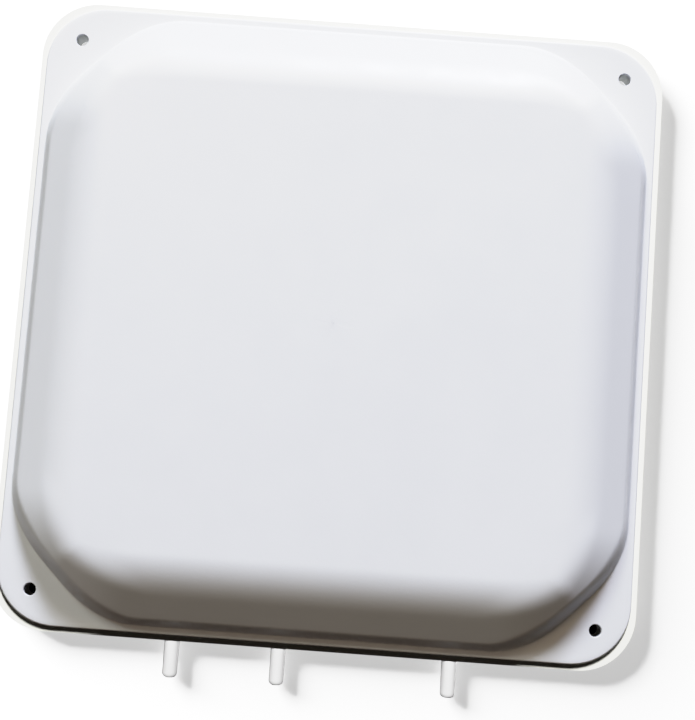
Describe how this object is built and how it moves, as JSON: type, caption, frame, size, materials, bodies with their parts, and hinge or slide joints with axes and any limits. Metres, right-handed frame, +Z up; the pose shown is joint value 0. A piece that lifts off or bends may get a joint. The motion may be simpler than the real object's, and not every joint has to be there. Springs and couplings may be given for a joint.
{
  "type": "security gate antenna panel",
  "caption": "Square white wall panel antenna for a store security gate, with a raised soft-edged cover, corner holes and capped coaxial ports along its bottom edge.",
  "frame": {"origin": "centre of the four corner holes, on the rear mounting face", "axes": "+Z up as hung on a wall, +Y into the wall, the front cover faces -Y, the ports point down along -Z"},
  "size_m": [0.3088, 0.0327, 0.3266],
  "materials": {
    "cover_plastic": "white moulded ABS with a fine satin surface",
    "tray_plastic": "off-white moulded plastic, satin",
    "cap_plastic": "smooth glossy white vinyl",
    "gasket_rubber": "black silicone rubber",
    "zinc_steel": "zinc-plated steel",
    "vent_plastic": "dark moulded nylon",
    "sheet_aluminium": "mill-finish sheet",
    "element_aluminium": "punched sheet with fine grain",
    "feed_brass": "turned brass",
    "ptfe": "white low-loss plastic",
    "bracket_steel": "plated sheet steel",
    "nylon": "natural nylon",
    "tinned_copper": "tinned copper tube",
    "jack_nickel": "nickel-plated brass",
    "contact_gold": "gold-plated contact"
  },
  "bodies": {
    "panel": {"radome_cover": "cover_plastic", "rear_tray": "tray_plastic", "perimeter_gasket": "gasket_rubber", "corner_sleeves": "zinc_steel", "cover_screws": "zinc_steel", "vent_plug": "vent_plastic", "reflector_plate": "sheet_aluminium", "reflector_screws": "zinc_steel", "feed_pins": "feed_brass", "feed_bushes": "ptfe", "jack_bracket": "bracket_steel", "bracket_screws": "zinc_steel", "patch_standoffs": "nylon", "patch_spacers": "nylon", "patch_screws": "nylon", "patch_nuts": "nylon", "driven_patch_left": "element_aluminium", "director_patch_left": "element_aluminium", "coax_jumper_left": "tinned_copper", "jack_body_left": "jack_nickel", "jack_insulator_left": "ptfe", "jack_contact_left": "contact_gold", "jack_nut_left": "jack_nickel", "jack_washer_left": "zinc_steel", "jack_o_ring_left": "gasket_rubber", "driven_patch_centre": "element_aluminium", "director_patch_centre": "element_aluminium", "coax_jumper_centre": "tinned_copper", "jack_body_centre": "jack_nickel", "jack_insulator_centre": "ptfe", "jack_contact_centre": "contact_gold", "jack_nut_centre": "jack_nickel", "jack_washer_centre": "zinc_steel", "jack_o_ring_centre": "gasket_rubber", "driven_patch_right": "element_aluminium", "director_patch_right": "element_aluminium", "coax_jumper_right": "tinned_copper", "jack_body_right": "jack_nickel", "jack_insulator_right": "ptfe", "jack_contact_right": "contact_gold", "jack_nut_right": "jack_nickel", "jack_washer_right": "zinc_steel", "jack_o_ring_right": "gasket_rubber"},
    "cap_left": {"dust_cap_left": "cap_plastic"},
    "cap_centre": {"dust_cap_centre": "cap_plastic"},
    "cap_right": {"dust_cap_right": "cap_plastic"}
  },
  "joints": [
    {"name": "cap_left_pull", "type": "slide", "parent": "panel", "child": "cap_left", "axis": [0, 0, -1], "range_m": [0, 0.016]},
    {"name": "cap_centre_pull", "type": "slide", "parent": "panel", "child": "cap_centre", "axis": [0, 0, -1], "range_m": [0, 0.016]},
    {"name": "cap_right_pull", "type": "slide", "parent": "panel", "child": "cap_right", "axis": [0, 0, -1], "range_m": [0, 0.016]}
  ]
}
